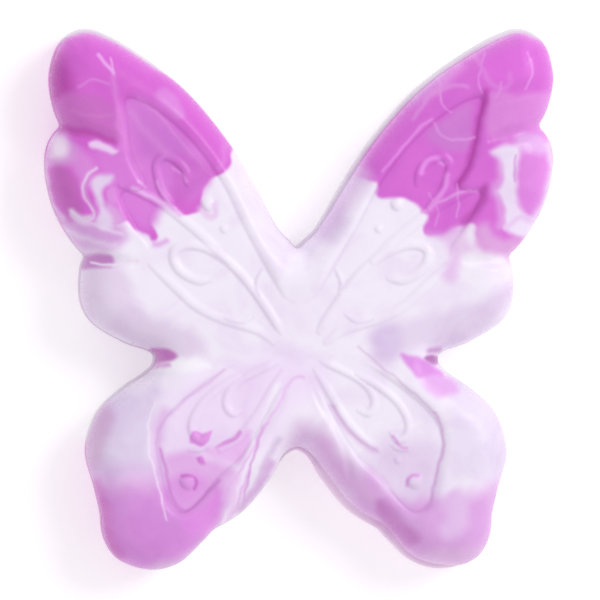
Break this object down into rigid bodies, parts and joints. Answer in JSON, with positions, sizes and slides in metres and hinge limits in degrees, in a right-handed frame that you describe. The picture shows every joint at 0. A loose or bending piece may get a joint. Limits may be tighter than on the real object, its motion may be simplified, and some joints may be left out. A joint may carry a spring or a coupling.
{
  "type": "baby teether",
  "caption": "Thick butterfly-shaped silicone soother for a baby to hold and chew, with a puffy border, sunk wing panels, raised scroll relief and a flat back.",
  "frame": {"origin": "on the flat back, in the middle of the outline's box", "axes": "+X to the right of the face, +Y from the lower wings to the upper wings, +Z out of the moulded face, square to the flat back"},
  "size_m": [0.0844, 0.0897, 0.015],
  "materials": {
    "pale_back_silicone": "satin",
    "milk_silicone": "gloss",
    "violet_silicone": "gloss",
    "lilac_silicone": "gloss",
    "orchid_silicone": "gloss"
  },
  "bodies": {
    "root": {"back_layer": "pale_back_silicone", "centre_body": "milk_silicone", "upper_left_tip": "violet_silicone", "upper_right_tip": "violet_silicone", "lower_left_tip": "lilac_silicone", "lower_right_tip": "lilac_silicone", "left_notch_drop": "orchid_silicone", "right_notch_drop": "orchid_silicone"}
  },
  "joints": []
}
